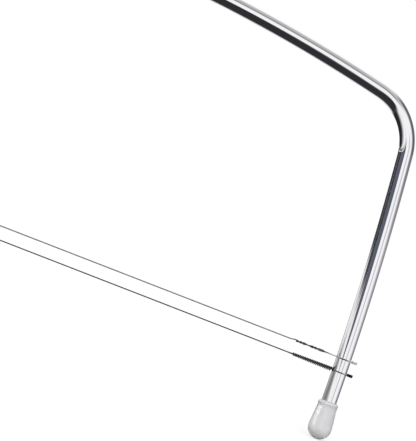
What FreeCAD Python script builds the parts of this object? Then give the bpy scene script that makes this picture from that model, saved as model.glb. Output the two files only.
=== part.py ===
# Two-wire cake leveler: a bow bent from one chromed tube stands on two push-on feet, and two cutting
# wires are stretched between slots sawn into its legs. Millimetres. Z is up, X runs along the wires, and
# the slots open towards the front, -Y. The origin lies on the table, midway between the feet.
import FreeCAD, Part
import math
import os
import Sketcher
from types import SimpleNamespace

Vector = FreeCAD.Vector
UP = Vector(0, 0, 1)

# Driving sizes, in millimetres, degrees and turns
SIZES = {
    # the tube and its bends, on the centre line
    "tube_diameter": 6.0,
    "tube_wall": 1.0,
    "bar_height": 149.6,
    "arch_radius": 612.0,
    "bend_radius": 23.0,
    "leg_bow_radius": 1220.0,
    "leg_straight": 12.0,
    # the legs' lower ends, at the middle of the feet's round bottoms
    "foot_spacing": 313.7,
    "foot_splay": 1.8,
    # the feet
    "foot_ball_radius": 4.7,
    "foot_height": 14.8,
    "foot_floor": 5.5,
    "foot_mouth_diameter": 7.6,
    "foot_side_radius": 45.0,
    "foot_lip_radius": 0.35,
    "socket_clearance": 0.05,
    # the wires, and the slots that they lie in
    "lower_wire_height": 27.5,
    "wire_spacing": 5.3,
    "wire_diameter": 0.5,
    "slot_clearance": 0.06,
    # the grooved stops in the wires' eyes, outside the legs
    "stop_diameter": 2.4,
    "stop_height": 1.1,
    "stop_groove_diameter": 1.3,
    "groove_clearance": 0.05,
    "stop_gap": 0.15,
    # the twisted tails, each set off from its leg
    "strand_gap": 0.45,
    "twist_pitch": 4.4,
    "upper_twist_turns": 2.5,
    "upper_twist_offset": 4.1,
    "lower_twist_turns": 3.25,
    "lower_twist_offset": 0.4,
}

# Expressions that several pieces share
TUBE_RADIUS = "Sizes.tube_diameter / 2"
TUBE_END = "(Sizes.foot_floor - Sizes.foot_ball_radius)"
WIRE_HEIGHTS = {
    "lower": "Sizes.lower_wire_height",
    "upper": "(Sizes.lower_wire_height + Sizes.wire_spacing)",
}
SLOT_HEIGHT = "(Sizes.wire_diameter + 2 * Sizes.slot_clearance)"
EYE_RADIUS = "(Sizes.stop_groove_diameter / 2 + Sizes.groove_clearance + Sizes.wire_diameter / 2)"
SLOT_BACK = f"({EYE_RADIUS} + Sizes.wire_diameter / 2 + Sizes.slot_clearance)"
STOP_GROOVE_HEIGHT = "(Sizes.wire_diameter + 2 * Sizes.groove_clearance)"
SIDES = {"left": -1, "right": 1}


def make_sheet(doc):
    """The sheet of driving sizes, one named cell each."""
    sheet = doc.addObject("Spreadsheet::Sheet", "Sizes")
    for row, (name, value) in enumerate(SIZES.items(), start=1):
        sheet.set(f"A{row}", name)
        sheet.set(f"B{row}", str(value))
        sheet.setAlias(f"B{row}", name)
    doc.recompute()
    return sheet


def new_body(doc, label):
    body = doc.addObject("PartDesign::Body", label)
    body.Label = label
    return body


def origin_plane(body, role):
    return next(feature for feature in body.Origin.OriginFeatures if feature.Role == role)


def new_sketch(body, name, role):
    sketch = body.newObject("Sketcher::SketchObject", name)
    sketch.AttachmentSupport = (origin_plane(body, role), [""])
    sketch.MapMode = "FlatFace"
    return sketch


def dimension(sketch, expression, *constraint):
    """Adds a dimension to a sketch and ties it to the sheet."""
    index = sketch.addConstraint(Sketcher.Constraint(*constraint))
    sketch.setExpression(f"Constraints[{index}]", expression)


def arc(centre, radius, start, finish):
    """An arc that turns anticlockwise from one angle to another, in radians."""
    return Part.ArcOfCircle(Part.Circle(centre, UP, radius), start, finish)


def angle_of(vector):
    return math.atan2(vector.y, vector.x)


def circles_meet(centre_a, radius_a, centre_b, radius_b):
    """Where two circles cross, on the side of larger x."""
    between = centre_b - centre_a
    distance = between.Length
    along = (radius_a**2 - radius_b**2 + distance**2) / (2 * distance)
    across = math.sqrt(radius_a**2 - along**2)
    direction = Vector(between).normalize()
    square = Vector(-direction.y, direction.x, 0)
    if square.x < 0:
        square = -square
    return centre_a + direction * along + square * across


def bow_path(body, sheet):
    """Centre line of the bow's right half, from the middle of the bar to the tube's lower end."""
    splay = math.radians(sheet.foot_splay)
    upward = Vector(-math.sin(splay), math.cos(splay), 0)
    outward = Vector(math.cos(splay), math.sin(splay), 0)
    tube_end = Vector(sheet.foot_spacing / 2, sheet.foot_ball_radius, 0)
    tube_end += upward * (sheet.foot_floor - sheet.foot_ball_radius)
    bow_start = tube_end + upward * sheet.leg_straight
    leg_centre = bow_start - outward * sheet.leg_bow_radius
    arch_centre = Vector(0, sheet.bar_height - sheet.arch_radius, 0)
    bend_centre = circles_meet(
        arch_centre, sheet.arch_radius - sheet.bend_radius,
        leg_centre, sheet.leg_bow_radius - sheet.bend_radius,
    )
    top_angle = angle_of(bend_centre - arch_centre)
    low_angle = angle_of(bend_centre - leg_centre)

    sketch = new_sketch(body, "BowPath", "XZ_Plane")
    arch = sketch.addGeometry(arc(arch_centre, sheet.arch_radius, top_angle, math.pi / 2))
    bend = sketch.addGeometry(arc(bend_centre, sheet.bend_radius, low_angle, top_angle))
    leg = sketch.addGeometry(arc(leg_centre, sheet.leg_bow_radius, splay, low_angle))
    end = sketch.addGeometry(Part.LineSegment(tube_end, bow_start))
    for upper, lower in ((arch, bend), (bend, leg), (leg, end)):
        sketch.addConstraint(Sketcher.Constraint("Tangent", upper, 1, lower, 2))
    sketch.addConstraint(Sketcher.Constraint("PointOnObject", arch, 3, -2))
    sketch.addConstraint(Sketcher.Constraint("PointOnObject", arch, 2, -2))
    dimension(sketch, "Sizes.bar_height", "DistanceY", arch, 2, sheet.bar_height)
    dimension(sketch, "Sizes.arch_radius", "Radius", arch, sheet.arch_radius)
    dimension(sketch, "Sizes.bend_radius", "Radius", bend, sheet.bend_radius)
    dimension(sketch, "Sizes.leg_bow_radius", "Radius", leg, sheet.leg_bow_radius)
    dimension(sketch, "Sizes.leg_straight", "Distance", end, sheet.leg_straight)
    dimension(sketch, "(90 + Sizes.foot_splay) * 1 deg", "Angle", end, math.pi / 2 + splay)
    end_reach = f"Sizes.foot_spacing / 2 - {TUBE_END} * sin(Sizes.foot_splay)"
    end_height = f"Sizes.foot_ball_radius + {TUBE_END} * cos(Sizes.foot_splay)"
    dimension(sketch, end_reach, "DistanceX", end, 1, tube_end.x)
    dimension(sketch, end_height, "DistanceY", end, 1, tube_end.y)
    return sketch


def tube_section(body, sheet):
    """The tube's ring, square to the bow at the middle of its bar."""
    sketch = new_sketch(body, "TubeSection", "YZ_Plane")
    centre = Vector(0, sheet.bar_height, 0)
    outside = sheet.tube_diameter / 2
    ring = {TUBE_RADIUS: outside, f"{TUBE_RADIUS} - Sizes.tube_wall": outside - sheet.tube_wall}
    for expression, radius in ring.items():
        circle = sketch.addGeometry(Part.Circle(centre, UP, radius))
        sketch.addConstraint(Sketcher.Constraint("PointOnObject", circle, 3, -2))
        dimension(sketch, "Sizes.bar_height", "DistanceY", circle, 3, centre.y)
        dimension(sketch, expression, "Radius", circle, radius)
    return sketch


def slot_outlines(body, sheet):
    """One long thin rectangle at each wire's height, across both legs, on a plane at the slots' ends."""
    sketch = new_sketch(body, "SlotOutlines", "XZ_Plane")
    sketch.setExpression("AttachmentOffset.Base.z", f"-{SLOT_BACK}")
    reach = sheet.foot_spacing / 2 + sheet.tube_diameter
    thickness = sheet.wire_diameter + 2 * sheet.slot_clearance
    for number, expression in enumerate(WIRE_HEIGHTS.values()):
        low = sheet.lower_wire_height + number * sheet.wire_spacing - thickness / 2
        corners = [Vector(x, y, 0) for x, y in (
            (-reach, low), (reach, low), (reach, low + thickness), (-reach, low + thickness))]
        lines = [Part.LineSegment(corners[k], corners[(k + 1) % 4]) for k in range(4)]
        bottom, right, top, left = sketch.addGeometry(lines)
        for before, after in ((bottom, right), (right, top), (top, left), (left, bottom)):
            sketch.addConstraint(Sketcher.Constraint("Coincident", before, 2, after, 1))
        sketch.addConstraint(Sketcher.Constraint("Horizontal", top))
        sketch.addConstraint(Sketcher.Constraint("Vertical", left))
        sketch.addConstraint(Sketcher.Constraint("Vertical", right))
        sketch.addConstraint(Sketcher.Constraint("Symmetric", bottom, 1, bottom, 2, -2))
        length = "Sizes.foot_spacing + 2 * Sizes.tube_diameter"
        dimension(sketch, length, "Distance", bottom, 2 * reach)
        dimension(sketch, SLOT_HEIGHT, "Distance", right, thickness)
        dimension(sketch, f"{expression} - {SLOT_HEIGHT} / 2", "DistanceY", bottom, 1, low)
    return sketch


def make_bow(doc, sheet):
    """The tube, swept along half the bow and mirrored, with the slots sawn in from the front."""
    body = new_body(doc, "bow_frame")
    pipe = body.newObject("PartDesign::AdditivePipe", "BowTube")
    pipe.Profile = (tube_section(body, sheet), [""])
    pipe.Spine = (bow_path(body, sheet), [])
    mirror = body.newObject("PartDesign::Mirrored", "BowMirror")
    mirror.Originals = [pipe]
    mirror.MirrorPlane = (origin_plane(body, "YZ_Plane"), [""])
    body.Tip = mirror
    doc.recompute()
    uncut = body.Shape.Volume
    slots = body.newObject("PartDesign::Pocket", "LegSlots")
    slots.Profile = slot_outlines(body, sheet)
    slots.Type = "ThroughAll"
    slots.Reversed = True
    doc.recompute()
    assert body.Shape.Volume < uncut, "the slots cut nothing"
    return body


def foot_profile(body, sheet):
    """Half section of a foot about its axis, from the middle of its round bottom."""
    ball = sheet.foot_ball_radius
    side = sheet.foot_side_radius
    lip = sheet.foot_lip_radius
    socket = sheet.tube_diameter / 2 + sheet.socket_clearance
    floor = sheet.foot_floor - ball
    top = sheet.foot_height - ball
    neck = Vector(sheet.foot_mouth_diameter / 2, top - 2 * lip, 0)
    lip_centre = neck + Vector(0, lip, 0)
    lip_top = lip_centre + Vector(0, lip, 0)
    # the side's arc touches the ball where the line through both centres meets them
    inset = side - ball
    reach = (side**2 - inset**2 - neck.Length**2) / (2 * inset)
    touch = angle_of(neck) - math.acos(reach / neck.Length)
    side_centre = Vector(-math.cos(touch), -math.sin(touch), 0) * inset

    sketch = new_sketch(body, "FootProfile", "XZ_Plane")
    bottom = sketch.addGeometry(arc(Vector(), ball, -math.pi / 2, touch))
    flank = sketch.addGeometry(arc(side_centre, side, touch, angle_of(neck - side_centre)))
    rim = sketch.addGeometry(arc(lip_centre, lip, -math.pi / 2, math.pi / 2))
    corners = [
        lip_top, Vector(socket, top, 0), Vector(socket, floor, 0), Vector(0, floor, 0), Vector(0, -ball, 0),
    ]
    lines = [Part.LineSegment(start, finish) for start, finish in zip(corners, corners[1:])]
    mouth, wall, seat, axis = sketch.addGeometry(lines)
    sketch.addConstraint(Sketcher.Constraint("Coincident", bottom, 3, -1, 1))
    sketch.addConstraint(Sketcher.Constraint("Tangent", bottom, 2, flank, 1))
    sketch.addConstraint(Sketcher.Constraint("Coincident", flank, 2, rim, 1))
    for before, after in ((rim, mouth), (mouth, wall), (wall, seat), (seat, axis), (axis, bottom)):
        sketch.addConstraint(Sketcher.Constraint("Coincident", before, 2, after, 1))
    sketch.addConstraint(Sketcher.Constraint("Vertical", rim, 1, rim, 3))
    sketch.addConstraint(Sketcher.Constraint("Vertical", rim, 3, rim, 2))
    sketch.addConstraint(Sketcher.Constraint("Horizontal", mouth))
    sketch.addConstraint(Sketcher.Constraint("Vertical", wall))
    sketch.addConstraint(Sketcher.Constraint("Horizontal", seat))
    sketch.addConstraint(Sketcher.Constraint("PointOnObject", axis, 1, -2))
    sketch.addConstraint(Sketcher.Constraint("PointOnObject", axis, 2, -2))
    dimension(sketch, "Sizes.foot_ball_radius", "Radius", bottom, ball)
    dimension(sketch, "Sizes.foot_side_radius", "Radius", flank, side)
    dimension(sketch, "Sizes.foot_lip_radius", "Radius", rim, lip)
    dimension(sketch, "Sizes.foot_mouth_diameter / 2", "DistanceX", rim, 3, neck.x)
    dimension(sketch, "Sizes.foot_height - Sizes.foot_ball_radius", "DistanceY", mouth, 1, top)
    dimension(sketch, f"{TUBE_RADIUS} + Sizes.socket_clearance", "DistanceX", wall, 1, socket)
    dimension(sketch, TUBE_END, "DistanceY", seat, 1, floor)
    return sketch


def revolve(body, sketch):
    turned = body.newObject("PartDesign::Revolution", "Turned")
    turned.Profile = sketch
    turned.ReferenceAxis = (sketch, ["V_Axis"])
    return turned


def make_foot(doc, sheet, side):
    """A push-on cap, turned about its leg's axis, with the tube's end on its floor."""
    body = new_body(doc, f"{side}_foot")
    revolve(body, foot_profile(body, sheet))
    sign = SIDES[side]
    body.Placement = FreeCAD.Placement(Vector(), FreeCAD.Rotation(Vector(0, -sign, 0), sheet.foot_splay))
    body.setExpression("Placement.Rotation.Angle", "Sizes.foot_splay * 1 deg")
    body.setExpression("Placement.Base.x", f"{sign} * Sizes.foot_spacing / 2")
    body.setExpression("Placement.Base.z", "Sizes.foot_ball_radius")
    return body


def stop_profile(body, sheet):
    """Half section of a stop about its axis: two flanges and the wire's groove between them."""
    half = sheet.stop_height / 2
    groove = sheet.wire_diameter / 2 + sheet.groove_clearance
    flange_radius = sheet.stop_diameter / 2
    groove_radius = sheet.stop_groove_diameter / 2
    outline = [
        Vector(0, -half, 0), Vector(flange_radius, -half, 0), Vector(flange_radius, -groove, 0),
        Vector(groove_radius, -groove, 0), Vector(groove_radius, groove, 0), Vector(flange_radius, groove, 0),
        Vector(flange_radius, half, 0), Vector(0, half, 0),
    ]
    sketch = new_sketch(body, "StopProfile", "XZ_Plane")
    lines = [Part.LineSegment(start, finish) for start, finish in zip(outline, outline[1:] + outline[:1])]
    edges = sketch.addGeometry(lines)
    for before, after in zip(edges, edges[1:] + edges[:1]):
        sketch.addConstraint(Sketcher.Constraint("Coincident", before, 2, after, 1))
    base, low_rim, low_face, root, high_face, high_rim, cap, axis = edges
    for line in (base, low_face, high_face, cap):
        sketch.addConstraint(Sketcher.Constraint("Horizontal", line))
    for line in (low_rim, high_rim):
        sketch.addConstraint(Sketcher.Constraint("Vertical", line))
    sketch.addConstraint(Sketcher.Constraint("Symmetric", axis, 1, axis, 2, -1, 1))
    sketch.addConstraint(Sketcher.Constraint("Symmetric", root, 1, root, 2, -1))
    sketch.addConstraint(Sketcher.Constraint("PointOnObject", axis, 1, -2))
    dimension(sketch, "Sizes.stop_height", "Distance", axis, sheet.stop_height)
    dimension(sketch, STOP_GROOVE_HEIGHT, "Distance", root, 2 * groove)
    dimension(sketch, "Sizes.stop_groove_diameter / 2", "DistanceX", root, 1, groove_radius)
    dimension(sketch, "Sizes.stop_diameter / 2", "DistanceX", low_rim, 1, flange_radius)
    dimension(sketch, "Sizes.stop_diameter / 2", "DistanceX", high_rim, 1, flange_radius)
    return sketch


def leg_outside(height):
    """Expression for the reach of a leg's outer face from the middle, at a height on its bowed stretch."""
    bow_start = f"({TUBE_END} + Sizes.leg_straight)"
    centre_height = (
        f"(Sizes.foot_ball_radius + {bow_start} * cos(Sizes.foot_splay)"
        " - Sizes.leg_bow_radius * sin(Sizes.foot_splay))"
    )
    centre_reach = (
        f"(Sizes.foot_spacing / 2 - {bow_start} * sin(Sizes.foot_splay)"
        " - Sizes.leg_bow_radius * cos(Sizes.foot_splay))"
    )
    outer_radius = f"(Sizes.leg_bow_radius + {TUBE_RADIUS} + Sizes.stop_gap)"
    return f"({centre_reach} + sqrt({outer_radius}^2 - ({height} - {centre_height})^2))"


def make_stop(doc, sheet, level, side):
    """A grooved stop that stands against the outside of a leg, over the mouth of a slot."""
    body = new_body(doc, f"{level}_{side}_stop")
    revolve(body, stop_profile(body, sheet))
    height = WIRE_HEIGHTS[level]
    reach = f"({leg_outside(height)} + Sizes.stop_diameter / 2)"
    body.setExpression("Placement.Base.x", f"{SIDES[side]} * {reach}")
    body.setExpression("Placement.Base.z", height)
    return body


def wire_form(sheet, stop, level):
    """Lengths that set out one end of a wire, measured along X from the middle of the bow."""
    form = SimpleNamespace(height=stop.Placement.Base.z, stop_reach=stop.Placement.Base.x)
    form.diameter = sheet.wire_diameter
    form.eye_radius = sheet.stop_groove_diameter / 2 + sheet.groove_clearance + form.diameter / 2
    form.twist_radius = (form.diameter + sheet.strand_gap) / 2
    form.turn_rate = 2 * math.pi / sheet.twist_pitch
    form.quarter = sheet.twist_pitch / 4
    form.blend = sheet.twist_pitch / 2
    leg_inside = form.stop_reach - sheet.stop_diameter / 2 - sheet.stop_gap - sheet.tube_diameter
    form.eye_start = leg_inside - sheet.get(f"{level}_twist_offset")
    form.twist_end = form.eye_start - form.blend
    form.twist_start = form.twist_end - sheet.get(f"{level}_twist_turns") * sheet.twist_pitch
    form.straight_end = form.twist_start - form.blend
    # the eye's two sides open at this angle, so that each runs on to touch the groove's round
    run = form.stop_reach - form.eye_start + form.blend / 2
    whole = math.asin(form.eye_radius / math.hypot(run, form.twist_radius))
    form.eye_angle = whole - math.atan2(form.twist_radius, run)
    return form


def strand_station(form, reach, side):
    """Point and direction of a strand of the twist; side is 1 for the wire itself and -1 for its tail."""
    if reach > form.twist_end:
        opened = reach - form.twist_end
        left = form.eye_start - reach
        slope = math.tan(form.eye_angle)
        radius = form.twist_radius + slope * opened**2 / (2 * form.blend)
        radius_rate = slope * opened / form.blend
        angle = -form.turn_rate * left**2 / (2 * form.blend)
        angle_rate = form.turn_rate * left / form.blend
    else:
        share = min((reach - form.straight_end) / form.blend, 1)
        radius = form.twist_radius * share**2 * (3 - 2 * share)
        radius_rate = form.twist_radius * 6 * share * (1 - share) / form.blend
        angle = -form.turn_rate * (form.blend / 2 + form.twist_end - reach)
        angle_rate = form.turn_rate
    across = Vector(0, math.cos(angle), math.sin(angle)) * side
    around = Vector(0, -math.sin(angle), math.cos(angle)) * side
    point = Vector(reach, 0, form.height) + across * radius
    direction = Vector(1, 0, 0) + across * radius_rate + around * (radius * angle_rate)
    return point, direction.normalize()


def tangent_arc(start, corner, finish):
    """The arc between two points whose tangents there meet at a corner, or a line where all three line up."""
    middle = (start + finish) / 2
    half_chord = (finish - start).Length / 2
    rise = (corner - middle).Length
    if rise < half_chord * 1e-6:
        return Part.LineSegment(start, finish).toShape()
    turn = math.atan2(rise, half_chord)
    bulge = half_chord * math.tan(turn / 2)
    return Part.Arc(start, middle + (corner - middle) * (bulge / rise), finish).toShape()


def biarc(start, finish):
    """Two arcs that join one station, a point and a direction, to the next without a kink."""
    (first, first_way), (last, last_way) = start, finish
    chord = last - first
    ways = first_way + last_way
    bend = 2 * (1 - first_way.dot(last_way))
    lean = chord.dot(ways)
    if bend < 1e-9:
        reach = chord.dot(chord) / (2 * lean)
    else:
        reach = (math.sqrt(lean**2 + bend * chord.dot(chord)) - lean) / bend
    first_corner = first + first_way * reach
    last_corner = last - last_way * reach
    joint = (first_corner + last_corner) / 2
    return [tangent_arc(first, first_corner, joint), tangent_arc(joint, last_corner, last)]


def stations_between(form, start, finish, side):
    """Stations along a strand, a quarter turn or less apart."""
    steps = math.ceil(abs(finish - start) / form.quarter - 1e-6)
    reaches = [start + (finish - start) * step / steps for step in range(steps + 1)]
    stations = [strand_station(form, reach, side) for reach in reaches]
    heading = 1 if finish > start else -1
    return [(point, way * heading) for point, way in stations]


def smooth_edges(stations):
    return [edge for start, finish in zip(stations, stations[1:]) for edge in biarc(start, finish)]


def wire_end_edges(form):
    """One end of a wire: its side of the twist, the eye round the stop, and the tail wound back."""
    stop = Vector(form.stop_reach, 0, form.height)
    side_way = Vector(-math.sin(form.eye_angle), math.cos(form.eye_angle), 0)
    back_touch = stop + side_way * form.eye_radius
    front_touch = Vector(back_touch.x, -back_touch.y, back_touch.z)
    far_point = stop + Vector(form.eye_radius, 0, 0)
    quarter_way = Vector(math.cos(math.pi / 4), math.sin(math.pi / 4), 0) * form.eye_radius
    standing = stations_between(form, form.straight_end, form.eye_start, 1)
    tail = stations_between(form, form.eye_start, form.twist_start + form.diameter, -1)
    eye = [
        Part.LineSegment(standing[-1][0], back_touch).toShape(),
        Part.Arc(back_touch, stop + quarter_way, far_point).toShape(),
        Part.Arc(far_point, stop + Vector(quarter_way.x, -quarter_way.y, 0), front_touch).toShape(),
        Part.LineSegment(front_touch, tail[0][0]).toShape(),
    ]
    last, last_way = tail[-1]
    tip = last + last_way * form.diameter
    cut_end = Part.LineSegment(last, tip).toShape()
    return smooth_edges(standing) + eye + smooth_edges(tail) + [cut_end], tip, last_way


def least_gap(edges, diameter):
    """Least clear distance of a wire to itself, between points well apart along it."""
    spacing = diameter / 4
    apart = 3 * diameter
    points = []
    travelled = 0.0
    for edge in edges:
        count = max(2, math.ceil(edge.Length / spacing) + 1)
        for number, point in enumerate(edge.discretize(Number=count)):
            points.append((travelled + edge.Length * number / (count - 1), point))
        travelled += edge.Length
    gaps = [
        (point - other).Length
        for number, (place, point) in enumerate(points)
        for other_place, other in points[number + 1:]
        if other_place - place > apart
    ]
    return min(gaps) - diameter


def make_wire(doc, sheet, level):
    """A cutting wire: one unbroken round wire from the tip of one tail to the tip of the other."""
    stop = doc.getObject(f"{level}_right_stop")
    form = wire_form(sheet, stop, level)
    right, tip, tip_way = wire_end_edges(form)
    left = [edge.rotated(Vector(), UP, 180) for edge in right]
    near = Vector(form.straight_end, 0, form.height)
    span = Part.LineSegment(Vector(-near.x, 0, near.z), near).toShape()
    path = Part.Wire(Part.__sortEdges__(left + [span] + right))
    section = Part.Wire(Part.Circle(tip, tip_way, form.diameter / 2).toShape())
    wire = doc.addObject("Part::Feature", f"{level}_wire")
    wire.Label = f"{level}_wire"
    wire.Shape = path.makePipeShell([section], True, False)
    expected = math.pi * form.diameter**2 / 4 * path.Length
    gap = least_gap(right, form.diameter)
    print(f"{level}_wire: least gap to itself {gap:.3f} mm, length {path.Length:.1f} mm, "
          f"volume {wire.Shape.Volume:.2f} of {expected:.2f} mm3")
    return wire


def check(doc, pieces):
    """Stops before anything is written if an object of the document failed."""
    for item in doc.Objects:
        faults = [state for state in item.State if state in ("Invalid", "Error")]
        assert not faults, f"{item.Label}: {faults}"
    for piece in pieces:
        shape = piece.Shape
        assert not shape.isNull() and shape.isValid(), f"{piece.Label} has no valid shape"
        assert len(shape.Solids) == 1, f"{piece.Label} is {len(shape.Solids)} solids"


def main():
    doc = FreeCAD.newDocument("CakeLeveler")
    sheet = make_sheet(doc)
    pieces = [make_bow(doc, sheet)]
    pieces += [make_foot(doc, sheet, side) for side in SIDES]
    pieces += [make_stop(doc, sheet, level, side) for level in WIRE_HEIGHTS for side in SIDES]
    doc.recompute()
    pieces += [make_wire(doc, sheet, level) for level in WIRE_HEIGHTS]
    doc.recompute()
    check(doc, pieces)
    os.makedirs("parts", exist_ok=True)
    for piece in pieces:
        piece.Shape.exportStep(f"parts/{piece.Label}.step")
        box = piece.Shape.BoundBox
        print(f"{piece.Label}: {box.XLength:.2f} x {box.YLength:.2f} x {box.ZLength:.2f} mm, "
              f"{piece.Shape.Volume:.1f} mm3, {len(piece.Shape.Faces)} faces")


main()
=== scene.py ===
# Looks of a two-wire cake leveler: a chromed tube bow on cloudy plastic feet, with two steel cutting wires.
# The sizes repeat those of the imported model, in millimetres, apart from the feet's flank, fillet and rim,
# the slots' height and the wires' twists, which follow the photograph more closely. Z is up, and the slots
# open to the front, -Y.
import math

import bmesh
import bpy
from mathutils import Matrix, Vector


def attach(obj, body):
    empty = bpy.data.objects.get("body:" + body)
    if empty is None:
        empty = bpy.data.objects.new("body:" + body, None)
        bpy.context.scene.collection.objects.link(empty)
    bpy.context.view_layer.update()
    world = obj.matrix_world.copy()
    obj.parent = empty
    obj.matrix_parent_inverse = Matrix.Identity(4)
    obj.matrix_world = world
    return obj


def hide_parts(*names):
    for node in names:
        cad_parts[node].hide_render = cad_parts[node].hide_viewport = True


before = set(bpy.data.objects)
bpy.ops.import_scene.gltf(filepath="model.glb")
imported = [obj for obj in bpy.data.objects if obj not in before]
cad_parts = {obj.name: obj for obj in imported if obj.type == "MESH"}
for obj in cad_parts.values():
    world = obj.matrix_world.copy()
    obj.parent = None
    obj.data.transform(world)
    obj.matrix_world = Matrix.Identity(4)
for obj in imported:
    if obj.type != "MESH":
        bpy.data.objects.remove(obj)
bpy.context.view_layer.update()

MM = 0.001
UP = Vector((0, 0, 1))
FRONT = Vector((0, -1, 0))
SIDES = {"left": -1, "right": 1}
WHITE = (1, 1, 1, 1)

# The bow's tube and the circles that its centre line follows
TUBE_RADIUS = 3.0
BORE_RADIUS = 2.0
BAR_HEIGHT = 149.6
ARCH_RADIUS = 612.0
BEND_RADIUS = 23.0
LEG_BOW_RADIUS = 1220.0
LEG_STRAIGHT = 12.0
FOOT_REACH = 156.85
FOOT_SPLAY = math.radians(1.8)
TUBE_SIDES = 56
# The longest step between rings of the tube's skin along bar, bend and leg, and the steps on its straight
# ends
BAR_STEP = 2.5
BEND_STEP = 0.5
LEG_STEP = 1.0
STRAIGHT_STEPS = 8

# The feet; the flank is nearly straight, and the rim slopes from the lip up to the tube
BALL_RADIUS = 4.7
FOOT_HEIGHT = 14.8
FOOT_FLOOR = 5.5
MOUTH_RADIUS = 3.8
SIDE_RADIUS = 300.0
LIP_RADIUS = 0.35
LIP_FILLET = 3.0
RIM_RISE = 0.75
SOCKET_RADIUS = 3.05
FOOT_SIDES = 72
FOOT_SHARP_ANGLE = 50
BALL_STEPS = 24
FLANK_STEPS = 16
FILLET_STEPS = 8
LIP_STEPS = 6

# The wires, their stops and the slots that they lie in
WIRE_RADIUS = 0.25
WIRE_HEIGHTS = {"lower": 27.5, "upper": 32.8}
SLOT_HALF = 0.26
SLOT_BACK = 1.26
STOP_RADIUS = 1.2
STOP_HALF = 0.55
GROOVE_RADIUS = 0.65
GROOVE_HALF = 0.3
STOP_GAP = 0.15
STOP_CHAMFER = 0.1
STOP_SIDES = 48
STOP_SHARP_ANGLE = 30
EYE_RADIUS = 0.95
EYE_STEPS = 28
WIRE_SIDES = 12
WIRE_SHARP_ANGLE = 50
SPAN_STEPS = 60


def circles_meet(centre_a, radius_a, centre_b, radius_b):
    """Where two circles in the XZ plane cross, on the side of larger x."""
    between = centre_b - centre_a
    distance = between.length
    along = (radius_a**2 - radius_b**2 + distance**2) / (2 * distance)
    across = math.sqrt(radius_a**2 - along**2)
    direction = between.normalized()
    square = Vector((-direction.z, 0, direction.x))
    if square.x < 0:
        square = -square
    return centre_a + direction * along + square * across


def in_plane(angle):
    """Unit vector in the XZ plane, at an angle from +X towards +Z."""
    return Vector((math.cos(angle), 0, math.sin(angle)))


def angle_in_plane(vector):
    """Angle of a vector in the XZ plane, from +X towards +Z."""
    return math.atan2(vector.z, vector.x)


LEG_UPWARD = Vector((-math.sin(FOOT_SPLAY), 0, math.cos(FOOT_SPLAY)))
LEG_OUTWARD = in_plane(FOOT_SPLAY)
BALL_CENTRE = Vector((FOOT_REACH, 0, BALL_RADIUS))
TUBE_END = BALL_CENTRE + LEG_UPWARD * (FOOT_FLOOR - BALL_RADIUS)
BOW_START = TUBE_END + LEG_UPWARD * LEG_STRAIGHT
LEG_CENTRE = BOW_START - LEG_OUTWARD * LEG_BOW_RADIUS
ARCH_CENTRE = Vector((0, 0, BAR_HEIGHT - ARCH_RADIUS))
BEND_CENTRE = circles_meet(
    ARCH_CENTRE, ARCH_RADIUS - BEND_RADIUS, LEG_CENTRE, LEG_BOW_RADIUS - BEND_RADIUS
)
TOP_ANGLE = angle_in_plane(BEND_CENTRE - ARCH_CENTRE)
LOW_ANGLE = angle_in_plane(BEND_CENTRE - LEG_CENTRE)
# Lengths along the centre line, from the middle of the bar to the end of a bend and to the end of the tube
BEND_END = ARCH_RADIUS * (math.pi / 2 - TOP_ANGLE) + BEND_RADIUS * (TOP_ANGLE - LOW_ANGLE)
HALF_LENGTH = BEND_END + LEG_BOW_RADIUS * (LOW_ANGLE - FOOT_SPLAY) + LEG_STRAIGHT


def arc_stations(centre, radius, start, finish, spacing):
    """Points along an arc with the way outward at each, the last point left to what follows."""
    count = math.ceil(abs(finish - start) * radius / spacing)
    ways = [in_plane(start + (finish - start) * step / count) for step in range(count)]
    return [(centre + way * radius, way) for way in ways]


def bow_stations():
    """Points of the centre line from the left tube end to the right one, each with the way outward."""
    right = arc_stations(ARCH_CENTRE, ARCH_RADIUS, math.pi / 2, TOP_ANGLE, BAR_STEP)
    right += arc_stations(BEND_CENTRE, BEND_RADIUS, TOP_ANGLE, LOW_ANGLE, BEND_STEP)
    right += arc_stations(LEG_CENTRE, LEG_BOW_RADIUS, LOW_ANGLE, FOOT_SPLAY, LEG_STEP)
    shares = [step / STRAIGHT_STEPS for step in range(STRAIGHT_STEPS + 1)]
    right += [(BOW_START.lerp(TUBE_END, share), LEG_OUTWARD) for share in shares]
    mirror = Matrix.Diagonal((-1, 1, 1))
    left = [(mirror @ point, mirror @ way) for point, way in right[:0:-1]]
    return left + right


def bow_axis(point):
    """The nearest point of the bow's centre line to a point near it."""
    side = -1 if point.x < 0 else 1
    flat = Vector((abs(point.x), 0, point.z))
    if angle_in_plane(flat - ARCH_CENTRE) > TOP_ANGLE:
        centre, radius = ARCH_CENTRE, ARCH_RADIUS
    elif angle_in_plane(flat - LEG_CENTRE) > LOW_ANGLE:
        centre, radius = BEND_CENTRE, BEND_RADIUS
    elif angle_in_plane(flat - LEG_CENTRE) > FOOT_SPLAY:
        centre, radius = LEG_CENTRE, LEG_BOW_RADIUS
    else:
        found = TUBE_END + LEG_UPWARD * (flat - TUBE_END).dot(LEG_UPWARD)
        return Vector((side * found.x, 0, found.z))
    found = centre + (flat - centre).normalized() * radius
    return Vector((side * found.x, 0, found.z))


def new_piece(name, mesh, material, body, node):
    """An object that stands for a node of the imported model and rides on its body."""
    piece = bpy.data.objects.new(name, mesh)
    bpy.context.scene.collection.objects.link(piece)
    mesh.materials.append(material)
    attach(piece, body)
    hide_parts(node)
    return piece


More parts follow.
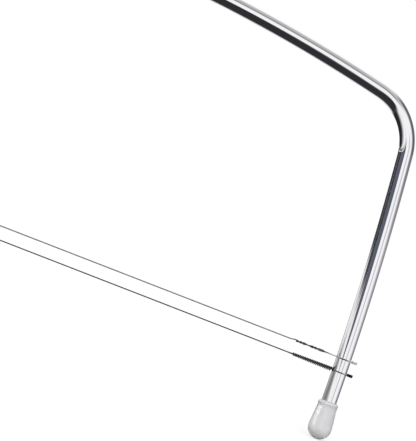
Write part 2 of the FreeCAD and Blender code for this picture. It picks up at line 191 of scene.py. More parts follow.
def ring_mesh(name, rings, stretch, closed=False):
    """A skin through rings of points, with length along the rings, in metres, and turn round them as its UV
    map. An open run of rings is capped at both ends."""
    sides = len(rings[0])
    form = bmesh.new()
    uv = form.loops.layers.uv.new("Along")
    made = [[form.verts.new(point * MM) for point in ring] for ring in rings]
    if closed:
        made.append(made[0])
    for row, (near, far) in enumerate(zip(made, made[1:])):
        for k in range(sides):
            after = (k + 1) % sides
            face = form.faces.new((near[k], near[after], far[after], far[k]))
            turns = (k, k + 1, k + 1, k)
            for loop, turn, step in zip(face.loops, turns, (0, 0, 1, 1)):
                length = stretch[(row + step) % len(stretch)]
                loop[uv].uv = (length, turn / sides)
    if not closed:
        form.faces.new(made[0][::-1])
        form.faces.new(made[-1])
    bmesh.ops.recalc_face_normals(form, faces=form.faces)
    mesh = bpy.data.meshes.new(name)
    form.to_mesh(mesh)
    form.free()
    mesh.polygons.foreach_set("use_smooth", [True] * len(mesh.polygons))
    return mesh


def lengths_along(points):
    """Distance of each point from the first, in metres."""
    total = [0.0]
    for before, after in zip(points, points[1:]):
        total.append(total[-1] + (after - before).length * MM)
    return total


def box_mesh(name, boxes):
    """Several plain boxes in one mesh, each from its lowest and highest corner."""
    form = bmesh.new()
    for low, high in boxes:
        corners = bmesh.ops.create_cube(form, size=1)["verts"]
        for corner in corners:
            share = [value + 0.5 for value in corner.co]
            corner.co = Vector([a + (b - a) * s for a, b, s in zip(low, high, share)]) * MM
    mesh = bpy.data.meshes.new(name)
    form.to_mesh(mesh)
    form.free()
    return mesh


def cut(piece, boxes):
    """Takes boxes out of a piece."""
    cutter = bpy.data.objects.new("cutter", box_mesh("cutter", boxes))
    bpy.context.scene.collection.objects.link(cutter)
    modifier = piece.modifiers.new("slots", "BOOLEAN")
    modifier.operation = "DIFFERENCE"
    modifier.solver = "EXACT"
    modifier.object = cutter
    evaluated = piece.evaluated_get(bpy.context.evaluated_depsgraph_get())
    mesh = bpy.data.meshes.new_from_object(evaluated)
    piece.modifiers.clear()
    piece.data = mesh
    bpy.data.objects.remove(cutter)


# How far a corner may lie off a round skin, and how squarely its face has to look out from it
SKIN_TOLERANCE = 0.03
SKIN_FACING = 0.7


def round_normals(mesh):
    """Shades the tube's two skins by their true round, and its sawn and cut faces flat."""
    skins = ((TUBE_RADIUS, 1), (BORE_RADIUS, -1))
    normals = []
    for polygon in mesh.polygons:
        corners = [mesh.vertices[index].co / MM for index in polygon.vertices]
        arms = [corner - bow_axis(corner) for corner in corners]
        facing = polygon.normal.dot(sum(arms, Vector()).normalized())
        for radius, sign in skins:
            on_skin = all(abs(arm.length - radius) < SKIN_TOLERANCE for arm in arms)
            if on_skin and facing * sign > SKIN_FACING:
                normals += [arm.normalized() * sign for arm in arms]
                break
        else:
            normals += [polygon.normal.copy() for corner in corners]
    mesh.normals_split_custom_set(normals)


def make_bow(material):
    """The bent tube with its bore, open at both ends, and the slots sawn into its legs from the front."""
    stations = bow_stations()
    turns = [2 * math.pi * k / TUBE_SIDES for k in range(TUBE_SIDES)]

    def ring(point, way, radius):
        return [point + (way * math.cos(turn) + FRONT * math.sin(turn)) * radius for turn in turns]

    outside = [ring(point, way, TUBE_RADIUS) for point, way in stations]
    inside = [ring(point, way, BORE_RADIUS) for point, way in stations[::-1]]
    along = lengths_along([point for point, way in stations])
    mesh = ring_mesh("bow_tube", outside + inside, along + along[::-1], closed=True)
    piece = new_piece("bow_tube", mesh, material, "bow", "bow_frame")
    slots = []
    for side in SIDES.values():
        ends = (FOOT_REACH - 3 * TUBE_RADIUS, FOOT_REACH + 3 * TUBE_RADIUS)
        inner, outer = sorted(side * end for end in ends)
        for height in WIRE_HEIGHTS.values():
            low = (inner, -2 * TUBE_RADIUS, height - SLOT_HALF)
            high = (outer, SLOT_BACK, height + SLOT_HALF)
            slots.append((low, high))
    cut(piece, slots)
    round_normals(piece.data)


def lathe(name, profile, sharp_angle, sides):
    """A turned form about Z from (radius, height) points that run from the axis round to the axis again."""
    form = bmesh.new()
    uv = form.loops.layers.uv.new("Along")
    columns = []
    for radius, height in profile:
        if radius == 0:
            columns.append([form.verts.new(Vector((0, 0, height)) * MM)] * sides)
            continue
        turns = [2 * math.pi * k / sides for k in range(sides)]
        columns.append([
            form.verts.new(Vector((radius * math.cos(turn), radius * math.sin(turn), height)) * MM)
            for turn in turns
        ])
    along = lengths_along([Vector((radius, 0, height)) for radius, height in profile])
    for row, (low, high) in enumerate(zip(columns, columns[1:])):
        for k in range(sides):
            after = (k + 1) % sides
            ring = [
                (low[k], row, k), (low[after], row, k + 1),
                (high[after], row + 1, k + 1), (high[k], row + 1, k),
            ]
            corners = []
            for corner in ring:
                if corner[0] not in [known[0] for known in corners]:
                    corners.append(corner)
            face = form.faces.new([corner[0] for corner in corners])
            for loop, (_, step, turn) in zip(face.loops, corners):
                loop[uv].uv = (along[step], turn / sides)
    bmesh.ops.recalc_face_normals(form, faces=form.faces)
    mesh = bpy.data.meshes.new(name)
    form.to_mesh(mesh)
    form.free()
    mesh.polygons.foreach_set("use_smooth", [True] * len(mesh.polygons))
    mesh.set_sharp_from_angle(angle=math.radians(sharp_angle))
    return mesh


def arc_profile(centre, radius, start, finish, steps):
    """(radius, height) points along an arc of a profile."""
    angles = [start + (finish - start) * step / steps for step in range(steps + 1)]
    return [
        (centre.x + radius * math.cos(angle), centre.z + radius * math.sin(angle)) for angle in angles
    ]


def foot_profile():
    """Half section of a foot: ball, long flank, flared and rolled lip, sloping rim, and socket."""
    top = FOOT_HEIGHT - BALL_RADIUS
    neck = (MOUTH_RADIUS, top - 2 * LIP_RADIUS)
    neck_length = math.hypot(*neck)
    inset = SIDE_RADIUS - BALL_RADIUS
    reach = (SIDE_RADIUS**2 - inset**2 - neck_length**2) / (2 * inset)
    touch = math.atan2(neck[1], neck[0]) - math.acos(reach / neck_length)
    side_centre = -in_plane(touch) * inset
    lip_centre = Vector((MOUTH_RADIUS, 0, top - LIP_RADIUS))
    fillet = circles_meet(side_centre, SIDE_RADIUS + LIP_FILLET, lip_centre, LIP_RADIUS + LIP_FILLET)
    side_end = angle_in_plane(fillet - side_centre)
    lip_start = angle_in_plane(fillet - lip_centre)
    floor = FOOT_FLOOR - BALL_RADIUS
    profile = arc_profile(Vector(), BALL_RADIUS, -math.pi / 2, touch, BALL_STEPS)
    profile += arc_profile(side_centre, SIDE_RADIUS, touch, side_end, FLANK_STEPS)[1:]
    profile += arc_profile(fillet, LIP_FILLET, side_end + math.pi, lip_start + math.pi, FILLET_STEPS)[1:]
    profile += arc_profile(lip_centre, LIP_RADIUS, lip_start, math.pi / 4, LIP_STEPS)[1:]
    profile += [(SOCKET_RADIUS, top + RIM_RISE), (SOCKET_RADIUS, floor), (0, floor)]
    profile[0] = (0, -BALL_RADIUS)
    return profile


def make_foot(side, material):
    """A push-on cap on the end of a leg."""
    sign = SIDES[side]
    mesh = lathe(f"{side}_cap", foot_profile(), FOOT_SHARP_ANGLE, FOOT_SIDES)
    place = Matrix.Translation(Vector((sign * FOOT_REACH, 0, BALL_RADIUS)) * MM)
    mesh.transform(place @ Matrix.Rotation(-sign * FOOT_SPLAY, 4, "Y"))
    new_piece(f"{side}_cap", mesh, material, "bow", f"{side}_foot")


def stop_reach(height):
    """Distance of a stop's axis from the middle of the bow, outside a leg at that height."""
    outer = LEG_BOW_RADIUS + TUBE_RADIUS + STOP_GAP
    return LEG_CENTRE.x + math.sqrt(outer**2 - (height - LEG_CENTRE.z) ** 2) + STOP_RADIUS


def make_stop(level, side, material):
    """A small turned stop with a groove for the wire's eye."""
    bevel = STOP_CHAMFER
    profile = [
        (0, -STOP_HALF), (STOP_RADIUS - bevel, -STOP_HALF), (STOP_RADIUS, -STOP_HALF + bevel),
        (STOP_RADIUS, -GROOVE_HALF), (GROOVE_RADIUS, -GROOVE_HALF),
        (GROOVE_RADIUS, GROOVE_HALF), (STOP_RADIUS, GROOVE_HALF),
        (STOP_RADIUS, STOP_HALF - bevel), (STOP_RADIUS - bevel, STOP_HALF), (0, STOP_HALF),
    ]
    height = WIRE_HEIGHTS[level]
    name = f"{level}_{side}_ferrule"
    mesh = lathe(name, profile, STOP_SHARP_ANGLE, STOP_SIDES)
    mesh.transform(Matrix.Translation(Vector((SIDES[side] * stop_reach(height), 0, height)) * MM))
    new_piece(name, mesh, material, f"{level}_cutting_wire", f"{level}_{side}_stop")


# The length over which a wire comes back to the axis past its twist, and how far the tail stops short of
# the twist's end
OPENING = 2.2
TAIL_SHORT = 0.5
# The longest step along a strand, and the least number of steps in one turn of it
STRAND_STEP = 0.11
STEPS_PER_TURN = 20
# How each wire's end is wound: the eye's start, measured from the leg; how long the eye takes to open; the
# twist's length and pitch; the length of the lumps that it is bunched into and how far it is drawn into
# them; the radii at which the wire, 1, and its tail, -1, wind, next to the eye and at the tail's tip
TWISTS = {
    "upper": {
        "offset": 4.1, "opening": 2.2, "length": 11.0, "pitch": 4.4, "lump": 5.5, "sway": 0.7,
        "radii": {1: (0.27, 0.255), -1: (0.27, 0.255)},
    },
    "lower": {
        "offset": 0.05, "opening": 0.5, "length": 16.3, "pitch": 0.72, "lump": 5.5, "sway": 0.0,
        "radii": {1: (0.06, 0.12), -1: (0.70, 0.44)},
    },
}


def wire_end_points(level):
    """The right end of a wire: its side of the twist, the eye round the stop, and the tail wound back."""
    height = WIRE_HEIGHTS[level]
    twist = TWISTS[level]
    opening = twist["opening"]
    stop = stop_reach(height)
    eye_start = stop - STOP_RADIUS - STOP_GAP - 2 * TUBE_RADIUS - twist["offset"]
    twist_end = eye_start - opening
    twist_start = twist_end - twist["length"]
    turn_rate = 2 * math.pi / twist["pitch"]
    slopes = {}
    run = stop - eye_start + opening / 2
    for side, (near_radius, _) in twist["radii"].items():
        slopes[side] = math.asin(EYE_RADIUS / math.hypot(run, near_radius)) - math.atan2(near_radius, run)

    def strand(reach, side):
        """A point of one strand; side is 1 for the wire itself and -1 for its tail."""
        near_radius, tip_radius = twist["radii"][side]
        if reach > twist_end:
            opened = reach - twist_end
            radius = near_radius + math.tan(slopes[side]) * opened**2 / (2 * opening)
            angle = -turn_rate * (eye_start - reach) ** 2 / (2 * opening)
        else:
            wound = twist_end - reach
            share = max(0.0, min(1.0, (reach - twist_start + OPENING) / OPENING))
            radius = near_radius + (tip_radius - near_radius) * min(1.0, wound / twist["length"])
            radius *= share**2 * (3 - 2 * share)
            bunched = twist["sway"] * math.sin(2 * math.pi * wound / twist["lump"])
            angle = -turn_rate * (opening / 2 + wound - bunched)
        across = Vector((0, math.cos(angle), math.sin(angle)))
        return Vector((reach, 0, height)) + across * radius * side

    def strand_points(start, finish, side):
        steps = math.ceil(abs(finish - start) / min(STRAND_STEP, twist["pitch"] / STEPS_PER_TURN))
        return [strand(start + (finish - start) * step / steps, side) for step in range(steps + 1)]

    turn_start = math.pi / 2 + slopes[1]
    turn_finish = -math.pi / 2 - slopes[-1]
    eye = []
    for step in range(EYE_STEPS + 1):
        turn = turn_start + (turn_finish - turn_start) * step / EYE_STEPS
        eye.append(Vector((stop + EYE_RADIUS * math.cos(turn), EYE_RADIUS * math.sin(turn), height)))
    standing = strand_points(twist_start - OPENING, eye_start, 1)
    tail = strand_points(eye_start, twist_start + TAIL_SHORT, -1)
    return standing + eye + tail


def sweep(name, points):
    """A round wire along points, with no twist of its own."""
    ways = [(after - before).normalized() for before, after in zip(points, points[1:])]
    tangents = [ways[0]] + [(a + b).normalized() for a, b in zip(ways, ways[1:])] + [ways[-1]]
    across = tangents[0].orthogonal().normalized()
    turns = [2 * math.pi * k / WIRE_SIDES for k in range(WIRE_SIDES)]
    rings = []
    for point, tangent in zip(points, tangents):
        across = (across - tangent * across.dot(tangent)).normalized()
        other = tangent.cross(across)
        ways_out = [across * math.cos(turn) + other * math.sin(turn) for turn in turns]
        rings.append([point + way * WIRE_RADIUS for way in ways_out])
    mesh = ring_mesh(name, rings, lengths_along(points))
    mesh.set_sharp_from_angle(angle=math.radians(WIRE_SHARP_ANGLE))
    return mesh


def make_wire(level, material):
    """One unbroken cutting wire, from the tip of one tail to the tip of the other."""
    right = wire_end_points(level)
    half_turn = Matrix.Rotation(math.pi, 3, "Z")
    left = [half_turn @ point for point in right[::-1]]
    start, finish = left[-1], right[0]
    span = [start.lerp(finish, step / SPAN_STEPS) for step in range(1, SPAN_STEPS)]
    name = f"{level}_strand"
    mesh = sweep(name, left + span + right)
    new_piece(name, mesh, material, f"{level}_cutting_wire", f"{level}_wire")


class Shader:
    """A node tree with short ways to add nodes to it."""

    def __init__(self, tree):
        self.tree = tree
        tree.nodes.clear()

    def node(self, kind, inputs=None, **settings):
        made = self.tree.nodes.new(kind)
        for name, value in settings.items():
            setattr(made, name, value)
        for name, value in (inputs or {}).items():
            if isinstance(value, bpy.types.NodeSocket):
                self.tree.links.new(value, made.inputs[name])
            else:
                made.inputs[name].default_value = value
        return made

    def math(self, operation, *values):
        inputs = dict(enumerate(values))
        return self.node("ShaderNodeMath", inputs, operation=operation).outputs[0]

    def dot(self, vector, constant):
        inputs = {0: vector, 1: constant}
        return self.node("ShaderNodeVectorMath", inputs, operation="DOT_PRODUCT").outputs["Value"]

    def ramp(self, value, low, high, out_low=0.0, out_high=1.0):
        """Maps a value smoothly from one range to another, and holds it at the ends."""
        inputs = {"Value": value, "From Min": low, "From Max": high, "To Min": out_low, "To Max": out_high}
        return self.node("ShaderNodeMapRange", inputs, interpolation_type="SMOOTHSTEP").outputs["Result"]

    def band(self, value, low, high, soft):
        """1 between two values and 0 outside them, with soft ends."""
        rise = self.ramp(value, low - soft, low + soft)
        fall = self.ramp(value, high - soft, high + soft, 1.0, 0.0)
        return self.math("MULTIPLY", rise, fall)

    def mix(self, share, first, second):
        made = self.node("ShaderNodeMix", {0: share, 6: first, 7: second}, data_type="RGBA")
        return made.outputs[2]

    def noise(self, vector, scale=1.0, detail=3.0, roughness=0.5):
        inputs = {"Vector": vector, "Scale": scale, "Detail": detail, "Roughness": roughness}
        return self.node("ShaderNodeTexNoise", inputs).outputs["Fac"]

    def scaled(self, vector, scale):
        inputs = {"Vector": vector, "Scale": scale}
        return self.node("ShaderNodeMapping", inputs).outputs["Vector"]

    def bump(self, height, strength, distance, normal=None):
        inputs = {"Height": height, "Strength": strength, "Distance": distance}
        if normal is not None:
            inputs["Normal"] = normal
        return self.node("ShaderNodeBump", inputs).outputs["Normal"]


def new_material(name):
    material = bpy.data.materials.new(name)
    material.use_nodes = True
    return material, Shader(material.node_tree)


def finish_material(shader, inputs):
    surface = shader.node("ShaderNodeBsdfPrincipled", inputs)
    shader.node("ShaderNodeOutputMaterial", {"Surface": surface.outputs[0]})


# The painted dark reflection on the inner side at the end of each bend: how far before the bend's end it
# starts and stops and how soft its ends are, and where it lies round the tube, in turns from the outer
# side, with how soft its sides are
BEND_REFLECTION_LENGTH = (2.3, 1.1, 0.3)
BEND_REFLECTION_TURNS = (0.41, 0.59, 0.03)
BEND_REFLECTION_TINT = (0.10, 0.10, 0.11, 1)


def chrome_material():
    """Bright plating: faint waves from bending, polishing lines round the tube, dull smears, fine rubs, and
    a painted dark reflection on the inner side at the end of each bend."""
    material, shader = new_material("chrome_plating")
    coordinates = shader.node("ShaderNodeTexCoord")
    place = coordinates.outputs["Object"]
    along = coordinates.outputs["UV"]
    smears = shader.noise(place, scale=38, detail=4.0, roughness=0.6)
    polish = shader.noise(shader.scaled(along, (9000, 3, 1)), detail=2.0)
    rubs = shader.noise(shader.scaled(along, (260, 90, 1)), detail=5.0, roughness=0.7)
    rubbed = shader.ramp(rubs, 0.62, 0.80)
    dull = shader.math("MULTIPLY", shader.ramp(smears, 0.45, 0.75), 0.008)
    dulled = shader.math("ADD", dull, shader.math("MULTIPLY", rubbed, 0.01))
    roughness = shader.math("ADD", dulled, shader.ramp(polish, 0.2, 0.8, 0.015, 0.025))
    plating = shader.mix(shader.ramp(smears, 0.3, 0.7), (0.92, 0.92, 0.93, 1), (0.88, 0.88, 0.89, 1))
    length_and_turn = shader.node("ShaderNodeSeparateXYZ", {0: along}).outputs
    from_middle = shader.math("SUBTRACT", length_and_turn["X"], HALF_LENGTH * MM)
    from_middle = shader.math("ABSOLUTE", from_middle)
    start, finish, soft = BEND_REFLECTION_LENGTH
    near_bend_end = shader.band(from_middle, (BEND_END - start) * MM, (BEND_END - finish) * MM, soft * MM)
    inner_side = shader.band(length_and_turn["Y"], *BEND_REFLECTION_TURNS)
    # Painted dark reflection: the plating is darkened where each bend's inner side ends.
    painted_reflection = shader.math("MULTIPLY", near_bend_end, inner_side)
    tint = shader.mix(painted_reflection, plating, BEND_REFLECTION_TINT)
    waves = shader.bump(shader.noise(place, scale=55, detail=1.0), strength=0.12, distance=0.0001)
    fine = shader.bump(polish, strength=0.02, distance=0.00002, normal=waves)
    finish_material(shader, {"Base Color": tint, "Metallic": 1.0, "Roughness": roughness, "Normal": fine})
    return material


# The soft end of the painted shade in a twist, the length over which a wire takes on its painted light tone
# in the slot, and the length before the leg's outside over which it takes on the painted tone of the eye
TWIST_SHADE_SOFT = 0.8
SLOT_FADE = 2.0
EYE_FADE = 0.5
TWIST_SHADE_TINT = (0.12, 0.12, 0.125, 1)


def wire_material(level, light, dark, slot, eye):
    """Drawn spring steel: draw lines, grey patches, painted shade in the twist, a painted light tone in the
    slot, and the eye's painted tone.
    """
    material, shader = new_material(f"{level}_drawn_steel")
    coordinates = shader.node("ShaderNodeTexCoord")
    along = coordinates.outputs["UV"]
    place = coordinates.outputs["Object"]
    lines = shader.noise(shader.scaled(along, (120, 14, 1)))
    patches = shader.noise(place, scale=160)
    clean = shader.mix(shader.ramp(patches, 0.35, 0.7), light, dark)
    reach = shader.math("ABSOLUTE", shader.node("ShaderNodeSeparateXYZ", {0: place}).outputs["X"])
    twist = TWISTS[level]
    leg_outside = stop_reach(WIRE_HEIGHTS[level]) - STOP_RADIUS - STOP_GAP
    finish = leg_outside - 2 * TUBE_RADIUS - twist["offset"]
    start = finish - twist["opening"] - twist["length"]
    # Painted shade in the twist, darker in patches, which also roughens it.
    in_twist = shader.band(reach, start * MM, finish * MM, TWIST_SHADE_SOFT * MM)
    twist_shade = shader.math("MULTIPLY", in_twist, shader.ramp(patches, 0.2, 0.6, 0.7, 0.95))
    twist_shaded = shader.mix(twist_shade, clean, TWIST_SHADE_TINT)
    # Painted light: a near white tone where the wire lies in the slot; past the leg, the eye's painted
    # tone.
    past_twist = shader.ramp(reach, finish * MM, (finish + SLOT_FADE) * MM)
    past_leg = shader.ramp(reach, (leg_outside - EYE_FADE) * MM, leg_outside * MM)
    tint = shader.mix(past_leg, shader.mix(past_twist, twist_shaded, slot), eye)
    drawn = shader.ramp(lines, 0.25, 0.75, 0.14, 0.30)
    roughness = shader.math("ADD", drawn, shader.math("MULTIPLY", twist_shade, 0.2))
    fine = shader.bump(lines, strength=0.25, distance=0.00002)
    finish_material(shader, {"Base Color": tint, "Metallic": 1.0, "Roughness": roughness, "Normal": fine})
    return material


def stop_material(name, light, dark, polish, metallic):
    """Turned steel, with fine rings from the tool."""
    material, shader = new_material(name)
    coordinates = shader.node("ShaderNodeTexCoord")
    rings = shader.noise(shader.scaled(coordinates.outputs["UV"], (14000, 2, 1)), detail=2.0)
    patches = shader.noise(coordinates.outputs["Object"], scale=420)
    tint = shader.mix(shader.ramp(patches, 0.35, 0.7), light, dark)
    roughness = shader.ramp(rings, 0.25, 0.75, polish, polish + 0.2)
    fine = shader.bump(rings, strength=0.3, distance=0.00002)
    inputs = {"Base Color": tint, "Metallic": metallic, "Roughness": roughness, "Normal": fine}
    finish_material(shader, inputs)
    return material


# Heights above the table: the top of a foot's scuffs, where the painted shade of the tube seen through its
# thin rim starts, and where it is darkest
SCUFF_HEIGHT = 3.5
RIM_SHADE_START = FOOT_HEIGHT - 0.45
RIM_SHADE_FULL = FOOT_HEIGHT + 0.1


def plastic_material():
    """Cloudy white plastic, slightly see-through, with a satin skin that is scuffed where it slides, and a
    thin rim darkened by painted shade of the tube inside it."""
    material, shader = new_material("cloudy_plastic")
    place = shader.node("ShaderNodeTexCoord").outputs["Object"]
    height = shader.node("ShaderNodeSeparateXYZ", {0: place}).outputs["Z"]
    clouds = shader.noise(place, scale=260, detail=4.0, roughness=0.6)
    scuffs = shader.noise(shader.scaled(place, (900, 2600, 900)), detail=4.0, roughness=0.7)
    low = shader.ramp(height, 0.0, SCUFF_HEIGHT * MM, 1.0, 0.0)
    scuffed = shader.math("MULTIPLY", shader.ramp(scuffs, 0.5, 0.75), low)
    cloudy = shader.ramp(clouds, 0.3, 0.7)
    tint = shader.mix(cloudy, (0.965, 0.96, 0.985, 1), (0.945, 0.94, 0.965, 1))
    # Painted shade: the thin rim is darkened where the tube inside shows through.
    rim = shader.ramp(height, RIM_SHADE_START * MM, RIM_SHADE_FULL * MM)
    thin = shader.mix(rim, tint, (0.84, 0.845, 0.87, 1))
    worn = shader.mix(shader.math("MULTIPLY", scuffed, 0.5), thin, (0.66, 0.65, 0.62, 1))
    satin = shader.ramp(clouds, 0.3, 0.7, 0.20, 0.26)
    roughness = shader.math("ADD", satin, shader.math("MULTIPLY", scuffed, 0.2))
    grain = shader.bump(shader.noise(place, scale=1400, detail=2.0), strength=0.05, distance=0.00003)
    finish_material(shader, {
        "Base Color": worn, "Roughness": roughness, "Normal": grain, "IOR": 1.49,
        "Transmission Weight": 0.25, "Subsurface Weight": 0.5, "Coat Weight": 0.5, "Coat Roughness": 0.12,
        "Subsurface Radius": (0.004, 0.004, 0.004), "Subsurface Scale": 0.5,
    })
    return material


# The azimuth and elevation, in degrees, of a pole that points to the front
POLE = (0.5, -2.0)
# What stands round the bow in the studio, as shiny faces show it, in the order in which it is laid. A
# sector is set out by the angle round the pole and the angle from it, a panel by its azimuth from the front
# and its elevation. Each angle has its low and high limit and a soft edge, in degrees. By its lean, which
# comes next, a card's second angle shifts with its first. The last value is the tone.
CARDS = {
    "ceiling": ("sector", (55, 150, 25), (65, 110, 5), 0, (0.54, 0.53, 0.53)),
    "ceiling edge": ("sector", (55, 150, 10), (45, 65, 10), 0, (0.18, 0.17, 0.17)),
    "right gap": ("sector", (5, 60, 8), (75, 150, 15), 0, (0.14, 0.13, 0.16)),
    "right seam": ("panel", (25, 35, 8), (-20, 15, 2), 0, (0.36, 0.33, 0.40)),
    "right edge": ("panel", (95, 160, 25), (-30, 10, 15), 0, (0.16, 0.14, 0.17)),
    "low wall": ("panel", (-130, -35, 60), (-8, -5, 0.3), 0, (0.15, 0.15, 0.15)),
    "left wall": ("panel", (-65, -15, 1), (-4, 8, 0.3), 0, (0.11, 0.12, 0.16)),
    "left floor": ("panel", (-110, -65, 5), (-4.5, 0.5, 0.3), 0, (0.03, 0.03, 0.04)),
    "left floor end": ("panel", (-180, -110, 5), (-9.5, -6, 0.3), -0.05, (0.03, 0.03, 0.04)),
    "left low corner": ("panel", (-185, -90, 4), (-17, -8.5, 0.3), 0, (0.02, 0.02, 0.025)),
    "front table": ("sector", (-130, -50, 5), (5, 140, 20), 0.5, (0.03, 0.03, 0.035)),
    "inner corner": ("sector", (-170, -125, 5), (55, 180, 30), -1, (0.02, 0.02, 0.025)),
    "left high wall": ("panel", (-160, -20, 10), (15, 75, 5), 0, (0.16, 0.16, 0.18)),
    "left softbox": ("panel", (-115, -65, 5), (1, 13, 0.5), 0, (5.5, 5.5, 5.5)),
}
STUDIO_WHITE = (1.0, 0.99, 1.0, 1)
AMBIENT = 0.74


def studio_colour(shader, direction):
    """The surroundings by direction: white, with the cards laid over it."""
    azimuth, elevation = (math.radians(value) for value in POLE)
    flat = math.cos(elevation)
    pole = Vector((math.sin(azimuth) * flat, -math.cos(azimuth) * flat, math.sin(elevation)))
    right = Vector((math.cos(azimuth), math.sin(azimuth), 0))
    upward = pole.cross(right)
    round_pole = shader.math("ARCTAN2", shader.dot(direction, upward), shader.dot(direction, right))
    round_pole = shader.math("DEGREES", round_pole)
    from_pole = shader.math("DEGREES", shader.math("ARCCOSINE", shader.dot(direction, pole)))
    side = shader.math("ARCTAN2", shader.dot(direction, (1, 0, 0)), shader.dot(direction, FRONT))
    side = shader.math("DEGREES", side)
    height = shader.math("DEGREES", shader.math("ARCSINE", shader.dot(direction, UP)))

    def lay(colour, first, second, tone):
        return shader.mix(shader.math("MULTIPLY", first, second), colour, (*tone, 1))

    def sector(colour, round_limits, from_limits, lean, tone):
        low, high, soft = round_limits
        middle = (low + high) / 2
        turned = shader.math("WRAP", shader.math("SUBTRACT", round_pole, middle), 180.0, -180.0)
        round_band = shader.band(turned, low - middle, high - middle, soft)
        leaning = shader.math("SUBTRACT", from_pole, shader.math("MULTIPLY", turned, lean))
        return lay(colour, round_band, shader.band(leaning, *from_limits), tone)

    def panel(colour, side_limits, height_limits, lean, tone):
        leaning = shader.math("SUBTRACT", height, shader.math("MULTIPLY", side, lean))
        return lay(colour, shader.band(side, *side_limits), shader.band(leaning, *height_limits), tone)

    colour = STUDIO_WHITE
    for kind, *card in CARDS.values():
        colour = sector(colour, *card) if kind == "sector" else panel(colour, *card)
    return colour


def make_world():
    """White to the eye and through the plastic, the studio to shiny faces, an even light to the rest."""
    world = bpy.data.worlds.new("studio")
    world.use_nodes = True
    bpy.context.scene.world = world
    shader = Shader(world.node_tree)
    direction = shader.node("ShaderNodeTexCoord").outputs["Generated"]
    ray = shader.node("ShaderNodeLightPath").outputs
    ambient = (AMBIENT, AMBIENT, AMBIENT, 1)
    colour = shader.mix(ray["Is Glossy Ray"], ambient, studio_colour(shader, direction))
    seen = shader.math("MAXIMUM", ray["Is Camera Ray"], ray["Is Transmission Ray"])
    colour = shader.mix(seen, colour, WHITE)
    background = shader.node("ShaderNodeBackground", {"Color": colour, "Strength": 1.0})
    shader.node("ShaderNodeOutputWorld", {"Surface": background.outputs[0]})


# The floor's half width in metres, its tone as it throws light back and as it is seen, and the share and
# strength of the glow that takes it to the background's white where it is seen
FLOOR_HALF = 12
FLOOR_MATT = (0.40, 0.40, 0.40, 1)
FLOOR_PALE = (0.85, 0.85, 0.85, 1)
FLOOR_GLOW_SHARE = 0.6
FLOOR_GLOW = 1.08


def make_floor():
    """A pale floor that runs into the white background and keeps the shadows."""
    form = bmesh.new()
    bmesh.ops.create_grid(form, x_segments=1, y_segments=1, size=FLOOR_HALF)
    mesh = bpy.data.meshes.new("floor")
    form.to_mesh(mesh)
    form.free()
    floor = bpy.data.objects.new("floor", mesh)
    bpy.context.scene.collection.objects.link(floor)
    material, shader = new_material("pale_floor")
    ray = shader.node("ShaderNodeLightPath").outputs
    matt = shader.node("ShaderNodeBsdfDiffuse", {"Color": FLOOR_MATT}).outputs[0]
    pale = shader.node("ShaderNodeBsdfDiffuse", {"Color": FLOOR_PALE}).outputs[0]
    glow = shader.node("ShaderNodeEmission", {"Color": WHITE, "Strength": FLOOR_GLOW}).outputs[0]
    seen = shader.node("ShaderNodeMixShader", {0: FLOOR_GLOW_SHARE, 1: pale, 2: glow}).outputs[0]
    both = shader.node("ShaderNodeMixShader", {0: ray["Is Camera Ray"], 1: matt, 2: seen}).outputs[0]
    shader.node("ShaderNodeOutputMaterial", {"Surface": both})
    mesh.materials.append(material)
    floor.visible_glossy = False


# The lamp's spread, its strength, and the way that it shines
LAMP_SPREAD = math.radians(50)
LAMP_STRENGTH = 1.5
LAMP_DIRECTION = Vector((0.15, 0.75, -0.9))


def make_lamp():
    """One very soft lamp from the front and above, which the chrome doesn't show."""
    lamp = bpy.data.lights.new("soft_lamp", "SUN")
    lamp.angle = LAMP_SPREAD
    lamp.energy = LAMP_STRENGTH
    holder = bpy.data.objects.new("soft_lamp", lamp)
    bpy.context.scene.collection.objects.link(holder)
    holder.rotation_euler = LAMP_DIRECTION.to_track_quat("-Z", "Y").to_euler()
    holder.visible_glossy = False


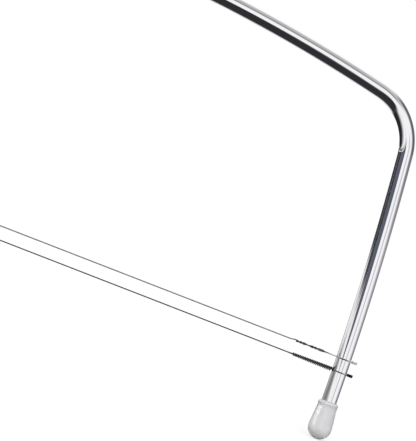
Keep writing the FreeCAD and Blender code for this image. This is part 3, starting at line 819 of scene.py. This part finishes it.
# The photograph's frame: what it is centred on, its height at the bow, its roll, and the camera's distance
# and range, the range in metres
VIEW_CENTRE = Vector((87.2, 0, 63.9))
VIEW_HEIGHT = 171.4
VIEW_ROLL = math.radians(21.22)
VIEW_DISTANCE = 700.0
VIEW_RANGE = (0.01, 100)


def make_camera():
    """Square to the bow's front, rolled as the photograph is."""
    data = bpy.data.cameras.new("camera")
    camera = bpy.data.objects.new("camera", data)
    bpy.context.scene.collection.objects.link(camera)
    data.lens = data.sensor_width * VIEW_DISTANCE / VIEW_HEIGHT
    right = in_plane(VIEW_ROLL)
    upward = in_plane(VIEW_ROLL + math.pi / 2)
    turn = Matrix((right, upward, FRONT)).transposed().to_4x4()
    camera.matrix_world = Matrix.Translation((VIEW_CENTRE + FRONT * VIEW_DISTANCE) * MM) @ turn
    data.clip_start, data.clip_end = VIEW_RANGE
    bpy.context.scene.camera = camera


make_camera()
make_world()
make_floor()
make_lamp()
bpy.context.scene.view_settings.view_transform = "Standard"

plastic = plastic_material()
# Both wires are the same steel. The lower one is painted much darker throughout as painted shade; in each,
# the near white tone in the slot is painted light, and the eye is painted light on the upper wire and
# painted shade on the lower.
wire_steels = {
    "upper": wire_material(
        "upper", light=(0.42, 0.42, 0.43, 1), dark=(0.32, 0.32, 0.33, 1),
        slot=(0.95, 0.95, 0.95, 1), eye=(0.88, 0.88, 0.89, 1),
    ),
    "lower": wire_material(
        "lower", light=(0.10, 0.10, 0.105, 1), dark=(0.06, 0.06, 0.065, 1),
        slot=(0.90, 0.89, 0.88, 1), eye=(0.04, 0.04, 0.042, 1),
    ),
}
# The four stops are the same steel: the upper ones are painted near white as painted light, the lower ones
# near black as painted shade.
stop_steels = {
    "upper": stop_material(
        "painted_light_stop_steel", (0.90, 0.90, 0.90, 1), (0.84, 0.84, 0.84, 1), polish=0.45, metallic=0.4
    ),
    "lower": stop_material(
        "painted_shade_stop_steel", (0.030, 0.030, 0.031, 1), (0.015, 0.015, 0.016, 1), polish=0.25, metallic=1.0
    ),
}
make_bow(chrome_material())
for side in SIDES:
    make_foot(side, plastic)
for level in WIRE_HEIGHTS:
    make_wire(level, wire_steels[level])
    for side in SIDES:
        make_stop(level, side, stop_steels[level])
